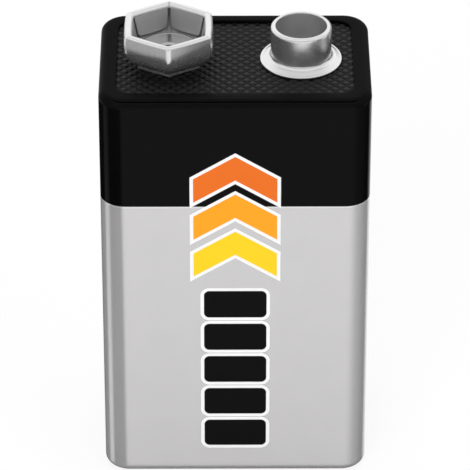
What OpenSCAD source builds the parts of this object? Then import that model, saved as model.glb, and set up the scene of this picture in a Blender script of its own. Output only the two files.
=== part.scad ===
// Nine volt battery, 6LR61 layout: a rolled steel jacket closed by a knurled
// terminal plate and a plain base plate, round six sleeved cells in series.
// Origin: centre of the base. +Z up, broad front face towards -Y.

/* [Cells] */
// Diameter of one cell's steel can
can_d = 8.1; // [7.6:0.05:8.4]
// Length of one cell, from its negative face to the top of its nub
cell_len = 39; // [34:0.5:42]
// Thickness of the film sleeve on each can
sleeve_t = 0.08; // [0.05:0.01:0.15]
// Diameter of the positive nub
nub_d = 2.6; // [2.2:0.1:3.4]
// Height of the positive nub
nub_h = 0.9; // [0.6:0.1:1.4]
// Width of the can's crimp, from its wall in to the seal
crimp_w = 0.73; // [0.6:0.01:0.9]
// Depth of the negative cap
cap_t = 0.7; // [0.5:0.1:1.2]
// Thickness of the seal round and under the negative cap
seal_t = 0.5; // [0.4:0.05:0.6]
// Gap between the three columns of cells
column_gap = 0.44; // [0.2:0.02:0.9]
// Gap between the two rows of cells
row_gap = 0.16; // [0.1:0.02:0.4]

/* [Jacket] */
// Thickness of the steel sheet
sheet_t = 0.25; // [0.2:0.01:0.35]
// Radius of the four upright corners
corner_r = 2.5; // [2.2:0.1:3]
// Outer radius of the rolled top and bottom edges
roll_r = 0.8; // [0.6:0.05:1.1]
// How far the rolled rims reach in over the plates
rim_w = 1.7; // [1.4:0.05:1.9]
// Corner radius of the opening inside a rim
mouth_r = 1.6; // [1.2:0.1:2.2]
// Depth of the dark printed field, from the top down
dark_field_h = 11.8; // [8:0.1:16]
// Width of the joint line down one narrow side
joint_w = 0.14; // [0.1:0.02:0.3]
// Depth of the joint line
joint_depth = 0.1; // [0.06:0.02:0.14]

/* [Terminal plate] */
// Thickness of the plate
plate_t = 1.2; // [1:0.1:1.6]
// Height of the skirt that stands on the upper card
skirt_h = 1.2; // [1:0.1:2.5]
// Thickness of the skirt
skirt_t = 0.7; // [0.5:0.1:1]
// Pitch of the diamond knurl, across one set of grooves
knurl_pitch = 0.8; // [0.7:0.05:1.1]
// Depth of the knurl grooves
knurl_depth = 0.14; // [0.1:0.01:0.2]
// Flat left on top of each diamond
knurl_flat = 0.12; // [0.1:0.02:0.2]

/* [Base plate and cards] */
// Thickness of the base plate
base_t = 1; // [0.8:0.1:1.4]
// Thickness of the two insulating cards
card_t = 0.3; // [0.2:0.05:0.5]

/* [Stud] */
// Distance between the axes of the stud and the socket
terminal_pitch = 12.88; // [12.45:0.01:12.95]
// Outer diameter of the stud
stud_d = 5.85; // [5.6:0.05:5.9]
// Height of the stud over the plate
stud_h = 3.8; // [3.2:0.1:4]
// Wall of the stud, two layers of sheet folded at the lip
stud_wall = 0.48; // [0.4:0.02:0.6]
// Thickness of the stud's floor
stud_floor_t = 0.3; // [0.2:0.05:0.4]
// How far the stud's flange reaches out from its barrel
flange_reach = 1.08; // [0.9:0.02:1.2]
// Thickness of the flange at its edge
flange_t = 0.24; // [0.2:0.02:0.3]
// Height of the bead round the barrel's foot, over the flange
bead_h = 0.22; // [0.14:0.02:0.3]

/* [Socket] */
// Height of the socket over the plate
socket_h = 3.95; // [3.6:0.05:4.1]
// Sheet thickness of the socket
socket_t = 0.28; // [0.22:0.02:0.32]
// How far the socket's bowl draws in towards its foot
bowl_reach = 1.35; // [1.2:0.05:1.45]
// Height of the bowl, from the plate to the upright wall
bowl_h = 2.1; // [1.8:0.1:2.4]
// Thickness of the spring leaves
leaf_t = 0.25; // [0.2:0.01:0.3]
// How far each leaf leans in, from the folded lip to its free end
leaf_lean = 0.4; // [0.2:0.02:0.5]
// Room for the leaves to spring, between their free ends and the cup
leaf_room = 0.78; // [0.6:0.01:0.9]
// Width of the gap between two leaves, at their free ends
leaf_gap_w = 0.75; // [0.5:0.05:1.1]
// Height of the leaves' free ends over the plate
leaf_foot = 1.25; // [1.15:0.05:1.6]
// Room between a stud of this battery's size and the leaves
grip_room = 0.3; // [0.1:0.05:0.4]

/* [Rivets, leads and straps] */
// Shank diameter of the hollow rivets
rivet_d = 2.4; // [2:0.1:2.6]
// Wall of the hollow rivets
rivet_wall = 0.35; // [0.25:0.05:0.45]
// Thickness of a rivet's head and of its rolled end
rivet_head_t = 0.25; // [0.2:0.05:0.3]
// How far a rivet's rolled end reaches out past its shank
rivet_end_reach = 0.5; // [0.3:0.05:0.6]
// Height of the socket rivet's hub, which carries its wide head over the floor
hub_h = 0.34; // [0.3:0.01:0.4]
// Width of a lead's eye outside the rivet's rolled end
eye_rim = 0.4; // [0.3:0.05:0.6]
// Thickness of leads and straps
strap_t = 0.15; // [0.1:0.01:0.2]
// Width of leads and straps
strap_w = 3; // [2.6:0.1:3.4]

/* [Hidden] */
$fn = 64;
cell_count = 6;
// Clearances: plates and sleeves to the jacket, film and seal to the can,
// rivets to their holes, leads to the card's slots
wall_gap = 0.06;
fit_gap = 0.02;
hole_gap = 0.05;
slot_gap = 0.2;
// How far a cutting shape runs past what it cuts
past = 1;

// Negative end of a cell: the cap sits in the seal, inside the can's crimp
cap_r = can_d / 2 - crimp_w - fit_gap - seal_t;

// Plan of the cells and of the jacket round them
sleeve_od = can_d + 2 * (fit_gap + sleeve_t);
column_pitch = sleeve_od + column_gap;
row_pitch = sleeve_od + row_gap;
inner_w = 2 * column_pitch + sleeve_od + 2 * wall_gap;
inner_d = row_pitch + sleeve_od + 2 * wall_gap;
inner_r = corner_r - sheet_t;
case_w = inner_w + 2 * sheet_t;
case_d = inner_d + 2 * sheet_t;
mouth_w = case_w - 2 * rim_w;
mouth_d = case_d - 2 * rim_w;

// Plan of the plates and cards that slide into the jacket
slide_w = inner_w - 2 * wall_gap;
slide_d = inner_d - 2 * wall_gap;
slide_r = inner_r - wall_gap;
slide_roll_r = roll_r - sheet_t + wall_gap;

// Heights of the stack, from the base up
z_base = sheet_t;
z_low_card = z_base + base_t;
z_low_strap = z_low_card + card_t;
z_cells = z_low_strap + strap_t;
z_high_strap = z_cells + cell_len;
z_high_card = z_high_strap + strap_t;
z_chamber = z_high_card + card_t;
z_plate = z_chamber + skirt_h;
z_top = z_plate + plate_t;
case_h = z_top + sheet_t;
z_border = case_h - dark_field_h;

// Terminals, and the parts under the plate that hold and feed them
stud_x = terminal_pitch / 2;
socket_x = -stud_x;
stud_r = stud_d / 2;
stud_bore_r = stud_r - stud_wall;
flange_r = stud_r + flange_reach;
grip_r = (stud_d + grip_room) / 2;
flank = grip_r + leaf_t + leaf_room + socket_t;
flank_corner_r = 0.7;
lip_in = grip_r + leaf_lean;
lip_low = socket_h - socket_t;
lip_edge_r = 0.3;
slit_w = 0.14;
slit_stop = 0.75;
rivet_r = rivet_d / 2;
rivet_hole_r = rivet_r + hole_gap;
rivet_end_r = rivet_r + rivet_end_reach;
stud_foot_r = 0.4;
stud_heel_r = 0.3;
stud_head_r = stud_bore_r - stud_heel_r;
eye_r = rivet_end_r + eye_rim;
bend_r = 0.3;

// Bowl of the socket: one oval arc from the foot up into the upright wall. It
// meets the foot at 45 degrees, one sheet over the plate
bowl_turn = 45;
bowl_foot = flank - bowl_reach;
bowl_rx = bowl_reach / (1 - cos(bowl_turn));
bowl_ry = (bowl_h - socket_t) / sin(bowl_turn);
bowl_x = flank - bowl_rx;

// How far the inside of the bowl turns down to a height over the plate, and
// its distance from the axis there
function bowl_angle(z) = asin((bowl_h - z) / (bowl_ry - socket_t));
function bowl_inside(z) = bowl_x + (bowl_rx - socket_t) * cos(bowl_angle(z));

// Head of the socket's rivet: a hub on the floor, and a disc as wide as the
// bowl is at that height
socket_head_r = bowl_inside(socket_t + hub_h) - fit_gap;

// Where the leads rise, between the outer cells and the terminals
lead_x = (column_pitch + stud_x) / 2;
lead_y = -eye_r - bend_r - strap_t;

// Centre of each cell, and whether its nub is up, in the order of the series
// path from the stud to the socket
cell_spots = [
    [column_pitch, -row_pitch / 2, true],
    [column_pitch, row_pitch / 2, false],
    [0, row_pitch / 2, true],
    [0, -row_pitch / 2, false],
    [-column_pitch, -row_pitch / 2, true],
    [-column_pitch, row_pitch / 2, false]
];

cell_pieces = ["can", "seal", "cap", "sleeve"];

// Points along an oval arc about [x, y], ends included
function oval(x, y, rx, ry, from, to, steps) = [
    for (i = [0:steps]) let (a = from + (to - from) * i / steps) [x + rx * cos(a), y + ry * sin(a)]
];

// Points along a circular arc about [x, y], ends included
function arc(x, y, r, from, to, steps = 8) = oval(x, y, r, r, from, to, steps);

// Rectangle with rounded corners, centred
module rounded_rect(w, d, r) {
    square([w - 2 * r, d], center = true);
    square([w, d - 2 * r], center = true);
    for (x = [-1, 1], y = [-1, 1])
        translate([x * (w / 2 - r), y * (d / 2 - r)]) circle(r = r);
}

// Upright section of a block's edge, its upper and lower corners rounded
module edge_section(reach, h, top_r, low_r) {
    intersection() {
        square([reach, h]);
        union() {
            square([reach - max(top_r, low_r), h]);
            translate([0, low_r]) square([reach, h - top_r - low_r]);
            if (top_r > 0) translate([reach - top_r, h - top_r]) circle(r = top_r);
            if (low_r > 0) translate([reach - low_r, low_r]) circle(r = low_r);
        }
    }
}

// Upright block with rounded corners and rolled upper and lower edges
module rolled_block(w, d, h, r, top_r, low_r) {
    core_w = w - 2 * r;
    core_d = d - 2 * r;
    translate([-core_w / 2, -core_d / 2, 0]) cube([core_w, core_d, h]);
    for (turn = [0, 180]) rotate([0, 0, turn]) {
        translate([core_w / 2, core_d / 2, 0]) rotate([90, 0, 0])
            linear_extrude(core_d) edge_section(r, h, top_r, low_r);
        translate([core_w / 2, core_d / 2, 0]) rotate([90, 0, -90]) mirror([1, 0, 0])
            linear_extrude(core_w) edge_section(r, h, top_r, low_r);
        for (x = [-1, 1]) translate([x * core_w / 2, core_d / 2, 0])
            rotate([0, 0, x > 0 ? 0 : 90])
                rotate_extrude(angle = 90) edge_section(r, h, top_r, low_r);
    }
}

// Steel sheet wrapped round the stack, its edges rolled in over the plates
module jacket_sheet() {
    difference() {
        rolled_block(case_w, case_d, case_h, corner_r, roll_r, roll_r);
        translate([0, 0, sheet_t]) rolled_block(
            inner_w, inner_d, case_h - 2 * sheet_t, inner_r, roll_r - sheet_t, roll_r - sheet_t
        );
        for (z = [-past, case_h - sheet_t - past]) translate([0, 0, z])
            linear_extrude(sheet_t + 2 * past) rounded_rect(mouth_w, mouth_d, mouth_r);
        translate([-case_w / 2 - past, -joint_w / 2, roll_r])
            cube([past + joint_depth, joint_w, case_h - 2 * roll_r]);
    }
}

// One horizontal band of the jacket, for one field of its print
module jacket_band(from, to) {
    intersection() {
        jacket_sheet();
        translate([-case_w, -case_d, from]) cube([2 * case_w, 2 * case_d, to - from]);
    }
}

module jacket() {
    color("silver") jacket_band(0, z_border);
    color("black") jacket_band(z_border, case_h);
}

// One straight V groove along +X, its lips just over the plate's face
module knurl_groove(len) {
    half = 1.1 * (knurl_pitch - knurl_flat) / 2;
    rotate([90, 0, 90]) linear_extrude(len)
        polygon([[0, -knurl_depth], [half, 0.1 * knurl_depth], [-half, 0.1 * knurl_depth]]);
}

// Grooves at 45 degrees, each as long as the opening inside the rim
module knurl_set() {
    step = knurl_pitch * sqrt(2);
    half_w = mouth_w / 2;
    half_d = mouth_d / 2;
    last = floor((half_w + half_d) / step);
    for (k = [-last:last]) {
        from = max(-half_w, -half_d - k * step);
        to = min(half_w, half_d - k * step);
        if (to - from > knurl_pitch)
            translate([from, from + k * step, 0]) rotate([0, 0, 45])
                knurl_groove((to - from) * sqrt(2));
    }
}

// Moulded plate that closes the top and carries the two terminals, knurled
// inside the rim but for a round seat under each terminal
module terminal_plate() {
    seat_h = 2 * knurl_depth;
    color("dimgray") difference() {
        union() {
            difference() {
                translate([0, 0, z_chamber])
                    rolled_block(slide_w, slide_d, z_top - z_chamber, slide_r, slide_roll_r, 0);
                translate([0, 0, z_top]) {
                    knurl_set();
                    mirror([1, 0, 0]) knurl_set();
                }
            }
            translate([stud_x, 0, z_top - seat_h]) cylinder(r = flange_r, h = seat_h);
            translate([socket_x, 0, z_top - seat_h]) cylinder(r = bowl_foot, h = seat_h);
        }
        translate([0, 0, z_chamber - past]) linear_extrude(skirt_h + past)
            rounded_rect(slide_w - 2 * skirt_t, slide_d - 2 * skirt_t, slide_r - skirt_t);
        for (x = [stud_x, socket_x]) translate([x, 0, z_plate - past])
            cylinder(r = rivet_hole_r, h = plate_t + 2 * past);
    }
}

// Round male terminal: a drawn tube with a folded lip and a beaded flange.
// The bead falls to the flange in two equal arcs, one hollow and one round
module stud_terminal() {
    lip_out_r = 0.36;
    lip_in_r = stud_wall - lip_out_r;
    edge_r = flange_t / 2;
    edge_w = 0.18;
    bead_x = stud_r + stud_foot_r;
    bead_z = flange_t + bead_h;
    slope_x = flange_r - edge_w;
    slope_turn = 2 * atan(bead_h / (slope_x - bead_x));
    slope_r = (slope_x - bead_x) / (2 * sin(slope_turn));
    color("lightgray") translate([stud_x, 0, z_top]) rotate_extrude() polygon(concat(
        [[rivet_hole_r, 0]],
        arc(flange_r - edge_r, edge_r, edge_r, -90, 90),
        arc(slope_x, flange_t + slope_r, slope_r, 270, 270 - slope_turn, 5),
        arc(bead_x, bead_z - slope_r, slope_r, 90 - slope_turn, 90, 5),
        arc(bead_x, bead_z + stud_foot_r, stud_foot_r, 270, 180),
        arc(stud_r - lip_out_r, stud_h - lip_out_r, lip_out_r, 0, 90),
        arc(stud_bore_r + lip_in_r, stud_h - lip_in_r, lip_in_r, 90, 180, 4),
        arc(stud_bore_r - stud_heel_r, stud_floor_t + stud_heel_r, stud_heel_r, 0, -90),
        [[rivet_hole_r, stud_floor_t]]
    ));
}

// Solid of six flanks that all follow one half section, a list of points
// [distance from the axis, height] from the bottom up
module hex_form(section) {
    count = len(section);
    intersection_for (a = [0, 60, 120]) rotate([0, 0, a])
        rotate([90, 0, 0]) linear_extrude(6 * flank, center = true) polygon(concat(
            section,
            [for (i = [1:count]) [-section[count - i][0], section[count - i][1]]]
        ));
}

// Outline that rounds the socket's six corners. Between two corners it runs
// on a little outside the flat, so that it trims the corners only
module socket_outline(r) {
    facet = 15;
    corner = (flank - r) / cos(30);
    peak = flank + (flank - r) * tan(30) * tan(facet / 2);
    polygon([
        for (k = [0:5]) let (a = 30 + 60 * k) each concat(
            arc(corner * cos(a), corner * sin(a), r, a - facet, a + facet, 2),
            [[peak * cos(a + 30), peak * sin(a + 30)]]
        )
    ]);
}

// Cup of the socket: a hexagonal wall drawn in to a bowl, its mouth still
// closed by the sheet of the lip
module socket_cup() {
    difference() {
        intersection() {
            hex_form(concat(
                [[bowl_foot, 0]],
                oval(bowl_x, bowl_h, bowl_rx, bowl_ry, -bowl_turn, 0, 10),
                arc(flank - lip_edge_r, socket_h - lip_edge_r, lip_edge_r, 0, 90, 6)
            ));
            linear_extrude(socket_h) socket_outline(flank_corner_r);
        }
        hex_form(concat(
            oval(bowl_x, bowl_h, bowl_rx - socket_t, bowl_ry - socket_t, -bowl_angle(socket_t), 0, 10),
            [[flank - socket_t, lip_low]]
        ));
    }
}

// Six spring leaves that lean in below the lip, parted at the corners by
// gaps that widen towards their free ends
module socket_leaves() {
    difference() {
        hex_form([[grip_r + leaf_t, leaf_foot], [lip_in + leaf_t, lip_low]]);
        for (k = [0:5]) rotate([0, 0, 30 + 60 * k]) rotate([90, 0, 90])
            linear_extrude(2 * flank) polygon([
                [-leaf_gap_w / 2, leaf_foot - past], [leaf_gap_w / 2, leaf_foot - past],
                [leaf_gap_w / 2, leaf_foot], [slit_w / 2, lip_low - lip_edge_r],
                [slit_w / 2, socket_h], [-slit_w / 2, socket_h],
                [-slit_w / 2, lip_low - lip_edge_r], [-leaf_gap_w / 2, leaf_foot]
            ]);
    }
}

// Mouth of the socket, rounded over the lip and narrowing down the leaves
module socket_mouth() {
    hex_form(concat(
        [[grip_r, leaf_foot - leaf_t], [grip_r, leaf_foot]],
        arc(lip_in + lip_edge_r, socket_h - lip_edge_r, lip_edge_r, 180, 90, 6),
        [[lip_in + lip_edge_r, socket_h + past]]
    ));
}

// Hexagonal female terminal: a cup whose lip folds in and down into leaves
module socket_terminal() {
    slit_reach = flank / cos(30) - slit_stop;
    slit_z = lip_low - leaf_t / 2;
    color("lightgray") translate([socket_x, 0, z_top]) difference() {
        difference() {
            union() {
                socket_cup();
                socket_leaves();
            }
            socket_mouth();
        }
        for (k = [0:5]) rotate([0, 0, 30 + 60 * k])
            translate([0, -slit_w / 2 - fit_gap, slit_z])
                cube([slit_reach, slit_w + 2 * fit_gap, socket_h]);
        translate([0, 0, -past]) cylinder(r = rivet_hole_r, h = 2 * past);
    }
}

// Hollow rivet through a terminal's floor, the plate and a lead's eye, with
// its head on a floor of the given thickness, or on a hub that stands there
module rivet(head_r, floor_t, hub) {
    bore_r = rivet_r - rivet_wall;
    hub_r = rivet_end_r;
    tail_z = -plate_t - strap_t;
    head_low = floor_t + hub;
    head_z = head_low + rivet_head_t;
    head_edge_r = rivet_head_t / 2;
    throat_r = (rivet_head_t + floor_t) / 2;
    color("silver") translate([0, 0, z_top]) rotate_extrude() polygon(concat(
        [[bore_r, tail_z - rivet_head_t], [rivet_end_r, tail_z - rivet_head_t]],
        [[rivet_end_r, tail_z], [rivet_r, tail_z], [rivet_r, floor_t]],
        hub > 0 ? [[hub_r, floor_t], [hub_r, head_low]] : [],
        [[head_r, head_low]],
        arc(head_r - head_edge_r, head_z - head_edge_r, head_edge_r, 0, 90),
        arc(bore_r + throat_r, head_z - throat_r, throat_r, 90, 180)
    ));
}

module stud_rivet() {
    translate([stud_x, 0, 0]) rivet(stud_head_r, stud_floor_t, 0);
}

module socket_rivet() {
    translate([socket_x, 0, 0]) rivet(socket_head_r, socket_t, hub_h);
}

// Lead from the top of the first cell, folded up through the card and over
// to an eye under the stud
module positive_lead() {
    weld_y = -(row_pitch + nub_d) / 2;
    low = z_high_strap;
    high = z_plate;
    outer_r = bend_r + strap_t;
    color("gainsboro") difference() {
        union() {
            translate([lead_x - strap_w / 2, 0, 0]) rotate([90, 0, 90]) linear_extrude(strap_w)
                polygon(concat(
                    [[weld_y, low + strap_t], [weld_y, low]],
                    arc(lead_y - bend_r, low + outer_r, outer_r, -90, 0),
                    arc(lead_y + outer_r, high - outer_r, bend_r, 180, 90),
                    [[0, high - strap_t], [0, high]],
                    arc(lead_y + outer_r, high - outer_r, outer_r, 90, 180),
                    arc(lead_y - bend_r, low + outer_r, bend_r, 0, -90)
                ));
            translate([stud_x, 0, high - strap_t]) cylinder(r = eye_r, h = strap_t);
        }
        translate([stud_x, 0, high - past]) cylinder(r = rivet_hole_r, h = 2 * past);
    }
}

// The same lead, half a turn round, from the last cell to the socket
module negative_lead() {
    rotate([0, 0, 180]) positive_lead();
}

// Flat strip welded across the ends of two cells, from one centre to the other
module strap(from, to, z) {
    span = norm(to - from);
    angle = atan2(to[1] - from[1], to[0] - from[0]);
    color("gainsboro") translate([from[0], from[1], z]) rotate([0, 0, angle])
        translate([span / 2, 0, 0]) linear_extrude(strap_t)
            rounded_rect(span + strap_w, strap_w, strap_w / 4);
}

// Strap from one cell to the next in the series path
module strap_at(first_cell, z) {
    from = cell_spots[first_cell - 1];
    to = cell_spots[first_cell];
    strap([from[0], from[1]], [to[0], to[1]], z);
}

// Insulating card across all six cells
module card() {
    color("burlywood") linear_extrude(card_t) rounded_rect(slide_w, slide_d, slide_r);
}

module bottom_card() {
    translate([0, 0, z_low_card]) card();
}

// Upper card, slotted where the two leads rise
module top_card() {
    slot_w = strap_w + 2 * slot_gap;
    slot_d = bend_r + strap_t + 2 * slot_gap;
    difference() {
        translate([0, 0, z_high_card]) card();
        for (turn = [0, 180]) rotate([0, 0, turn])
            translate([lead_x - slot_w / 2, lead_y - bend_r - slot_gap, z_high_card - past])
                cube([slot_w, slot_d, card_t + 2 * past]);
    }
}

// Plain moulded plate that closes the bottom
module base_plate() {
    color("dimgray") translate([0, 0, z_base])
        rolled_block(slide_w, slide_d, base_t, slide_r, 0, slide_roll_r);
}

// Closed can with its contents, crimped over the seal at its negative end
module cell_can() {
    can_r = can_d / 2;
    nub_r = nub_d / 2;
    seat_r = can_r - crimp_w;
    seat_z = cap_t + seal_t;
    crimp_land = 0.1;
    crimp_r = crimp_w - crimp_land;
    crimp_z = 0.2;
    shoulder_r = 0.8;
    shoulder_z = cell_len - nub_h;
    nub_edge_r = 0.25;
    color("silver") rotate_extrude() polygon(concat(
        [[0, seat_z], [seat_r, seat_z], [seat_r, crimp_z]],
        arc(can_r - crimp_r, crimp_z + crimp_r, crimp_r, -90, 0),
        arc(can_r - shoulder_r, shoulder_z - shoulder_r, shoulder_r, 0, 90),
        [[nub_r, shoulder_z]],
        arc(nub_r - nub_edge_r, cell_len - nub_edge_r, nub_edge_r, 0, 90),
        [[0, cell_len]]
    ));
}

// Moulded seal: a cup that holds the negative cap apart from the can
module cell_seal() {
    pocket_r = cap_r + fit_gap;
    seal_r = cap_r + seal_t;
    lip_z = 0.15;
    color("ivory") rotate_extrude() polygon([
        [0, cap_t], [pocket_r, cap_t], [pocket_r, lip_z], [seal_r, lip_z],
        [seal_r, cap_t + seal_t], [0, cap_t + seal_t]
    ]);
}

// Pressed negative cap with a rounded edge
module cell_cap() {
    edge_r = 0.2;
    color("silver") rotate_extrude() polygon(concat(
        [[0, 0]],
        arc(cap_r - edge_r, edge_r, edge_r, -90, 0),
        [[cap_r, cap_t], [0, cap_t]]
    ));
}

// Shrunk film, drawn in a little over the can's shoulder
module cell_sleeve() {
    in_r = can_d / 2 + fit_gap;
    shoulder_r = 0.8;
    low = 0.8;
    turn = 50;
    axis = can_d / 2 - shoulder_r;
    high = cell_len - nub_h - shoulder_r;
    near = shoulder_r + fit_gap;
    color("lightsteelblue") rotate_extrude() polygon(concat(
        [[in_r, low], [in_r + sleeve_t, low]],
        arc(axis, high, near + sleeve_t, 0, turn),
        arc(axis, high, near, turn, 0)
    ));
}

// One piece of one cell, with the nub up or down as the series path needs
module cell_piece(number, piece) {
    spot = cell_spots[number - 1];
    up = spot[2];
    translate([spot[0], spot[1], z_cells + (up ? 0 : cell_len)]) rotate([up ? 0 : 180, 0, 0]) {
        if (piece == "can") cell_can();
        if (piece == "seal") cell_seal();
        if (piece == "cap") cell_cap();
        if (piece == "sleeve") cell_sleeve();
    }
}

jacket();
terminal_plate();
socket_terminal();
stud_terminal();
socket_rivet();
stud_rivet();
positive_lead();
negative_lead();
top_card();
strap_at(2, z_high_strap);  // top_strap_1
strap_at(4, z_high_strap);  // top_strap_2
for (i = [1:cell_count], piece = cell_pieces)
    cell_piece(i, piece);
strap_at(1, z_low_strap);  // bottom_strap_1
strap_at(3, z_low_strap);  // bottom_strap_2
strap_at(5, z_low_strap);  // bottom_strap_3
bottom_card();
base_plate();
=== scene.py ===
# %% [markdown]
# # A nine volt battery, dressed for the studio
# A snap battery is a rolled steel jacket, closed at the top by a knurled black plate that carries two nickel
# terminals: a hexagonal socket with spring leaves and a round stud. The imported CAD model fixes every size
# and place. This lesson gives each visible piece a smooth mesh of its own and each surface a procedural
# finish.

# %% Load the frame
import math

import bmesh
import bpy
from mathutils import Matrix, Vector


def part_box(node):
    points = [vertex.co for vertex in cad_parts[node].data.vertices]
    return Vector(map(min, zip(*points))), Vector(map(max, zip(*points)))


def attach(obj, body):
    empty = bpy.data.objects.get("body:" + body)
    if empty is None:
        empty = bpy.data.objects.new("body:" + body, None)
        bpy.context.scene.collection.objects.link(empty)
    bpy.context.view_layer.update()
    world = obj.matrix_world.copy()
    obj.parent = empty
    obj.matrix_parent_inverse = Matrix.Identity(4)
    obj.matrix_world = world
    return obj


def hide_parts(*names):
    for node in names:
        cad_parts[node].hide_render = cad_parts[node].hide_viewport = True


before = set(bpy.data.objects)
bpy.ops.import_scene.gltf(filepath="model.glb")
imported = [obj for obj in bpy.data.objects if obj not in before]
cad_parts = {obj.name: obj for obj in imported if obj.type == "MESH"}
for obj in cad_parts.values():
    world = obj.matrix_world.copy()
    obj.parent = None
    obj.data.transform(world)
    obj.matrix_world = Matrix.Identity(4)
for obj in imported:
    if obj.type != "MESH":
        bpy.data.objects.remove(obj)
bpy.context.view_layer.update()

print("CAD nodes:", len(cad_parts))

# %% [markdown]
# ## Sizes
# Pieces fit each other only when they come from the same numbers. The outer sizes are read off the CAD
# nodes' boxes, and the radii and walls that a box can't tell are named once, in millimetres. Every later
# step works in millimetres too, and scales a mesh to metres when it makes it.

# %% Read the sizes off the frame
MM = 0.001


def box_mm(node):
    """Lowest and highest corner of a CAD node, in millimetres."""
    low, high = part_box(node)
    return low / MM, high / MM


jacket_low, jacket_high = box_mm("jacket")
plate_low, plate_high = box_mm("terminal_plate")
stud_low, stud_high = box_mm("stud_terminal")
socket_low, socket_high = box_mm("socket_terminal")
stud_rivet_high = box_mm("stud_rivet")[1]
socket_rivet_high = box_mm("socket_rivet")[1]

case_w = jacket_high.x - jacket_low.x
case_d = jacket_high.y - jacket_low.y
case_h = jacket_high.z
z_top = plate_high.z
sheet_t = case_h - z_top
stud_x = (stud_low.x + stud_high.x) / 2
socket_x = (socket_low.x + socket_high.x) / 2
stud_h = stud_high.z - z_top
socket_h = socket_high.z - z_top
flange_r = (stud_high.x - stud_low.x) / 2
flank = (socket_high.x - socket_low.x) / 2
print(f"case {case_w:.2f} x {case_d:.2f} x {case_h:.2f} mm, plate at {z_top:.2f} mm")
print(f"stud at x {stud_x:.2f}, {stud_h:.2f} high; socket at x {socket_x:.2f}, {socket_h:.2f} high")

# %% Name the sizes that a box doesn't tell
corner_r = 2.5
roll_r = 0.8
rim_w = 1.7
mouth_r = 1.6
mouth_edge_r = 0.07
joint_w = 0.14
joint_depth = 0.1
mouth_shift = 0.12
knurl_pitch = 0.8
knurl_depth = 0.14
plate_t = 1.2
plate_gap = 0.31
socket_t = 0.28
rivet_d = 2.4
rivet_hole_r = 1.25
dark_field_h = 11.8
z_border = case_h - dark_field_h
mouth_w = case_w - 2 * rim_w
mouth_d = case_d - 2 * rim_w
print(f"opening inside the rim: {mouth_w:.2f} x {mouth_d:.2f} mm, border of the print at {z_border:.2f} mm")

# %% [markdown]
# ## Small tools for meshes
# Pressed and moulded parts are nearly all lofts: one section carried along a path. Blender's primitives
# could be bent into such shapes, but a loft written in code keeps its edges where the drawing has them.
# These helpers join rings of points with quads, and mark as sharp only the edges that turn by more than a
# set angle.

# %% Make a piece from rings of points
SHARP_ANGLE = math.radians(38)
MERGE_MM = 1e-4


def add_object(name, data):
    """Link an object that holds the data to the scene."""
    thing = bpy.data.objects.new(name, data)
    bpy.context.scene.collection.objects.link(thing)
    return thing


def add_piece(name, mesh):
    """Merge doubles, point the faces outwards, keep the sharp edges and link the piece at the origin."""
    work = bmesh.new()
    work.from_mesh(mesh)
    bmesh.ops.remove_doubles(work, verts=work.verts, dist=MERGE_MM * MM)
    bmesh.ops.recalc_face_normals(work, faces=work.faces)
    work.to_mesh(mesh)
    work.free()
    mesh.shade_smooth()
    mesh.set_sharp_from_angle(angle=SHARP_ANGLE)
    print(f"{name}: {len(mesh.vertices)} vertices, {len(mesh.polygons)} faces")
    return add_object(name, mesh)


def make_piece(name, points, faces):
    """Make a piece of points in millimetres and faces."""
    mesh = bpy.data.meshes.new(name)
    mesh.from_pydata([Vector(p) * MM for p in points], [], faces)
    return add_piece(name, mesh)


# %% Lofts and sections
def loft(rings, closed=True):
    """Points and quads of equal closed rings; closed joins the last ring to the first."""
    count = len(rings[0])
    points = [p for ring in rings for p in ring]
    faces = []
    for i in range(len(rings) if closed else len(rings) - 1):
        here = i * count
        there = (i + 1) % len(rings) * count
        for j in range(count):
            k = (j + 1) % count
            faces.append((here + j, here + k, there + k, there + j))
    return points, faces


def arc(x, y, r, start, stop, steps):
    """Points on a circular arc, ends included, angles in degrees."""
    angles = [math.radians(start + (stop - start) * i / steps) for i in range(steps + 1)]
    return [(x + r * math.cos(a), y + r * math.sin(a)) for a in angles]


def oval(x, y, rx, ry, start, stop, steps):
    """Points on an oval arc, ends included, angles in degrees."""
    return [(x + (px - x) * rx, y + (py - y) * ry) for px, py in arc(x, y, 1, start, stop, steps)]


def rounded_box(x, half_w, half_d, r, steps):
    """Points round a rectangle with rounded corners and its middle at (x, 0)."""
    ring = []
    for sx, sy, start in ((1, 1, 0), (-1, 1, 90), (-1, -1, 180), (1, -1, 270)):
        ring += arc(x + sx * (half_w - r), sy * (half_d - r), r, start, start + 90, steps)
    return ring


def spun(section, x, steps=144):
    """Turn a closed section of (radius, height over the plate) about the upright axis at x."""
    rings = []
    for i in range(steps):
        a = 2 * math.pi * i / steps
        rings.append([(x + r * math.cos(a), r * math.sin(a), z_top + h) for r, h in section])
    return loft(rings)


# %% [markdown]
# ## Small tools for node trees
# A finish is arithmetic on a point's place. Set out node by node it soon becomes unreadable, so these
# helpers add nodes, set their inputs from a table and hand back their outputs. A socket knows its own tree,
# as id_data. Object coordinates are used throughout: they are metres in the part's own frame, and a factor
# of a thousand makes them millimetres again.

# %% Add a node
def feed(node, inputs):
    """Set the node's inputs from a table, with a link where the value is another node's output."""
    for key, value in inputs.items():
        if isinstance(value, bpy.types.NodeSocket):
            node.id_data.links.new(value, node.inputs[key])
        else:
            node.inputs[key].default_value = value


def add_node(tree, kind, inputs, **settings):
    """Add a node with these settings and inputs, and hand back its outputs."""
    node = tree.nodes.new(kind)
    for key, value in settings.items():
        setattr(node, key, value)
    feed(node, inputs)
    return node.outputs


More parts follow.
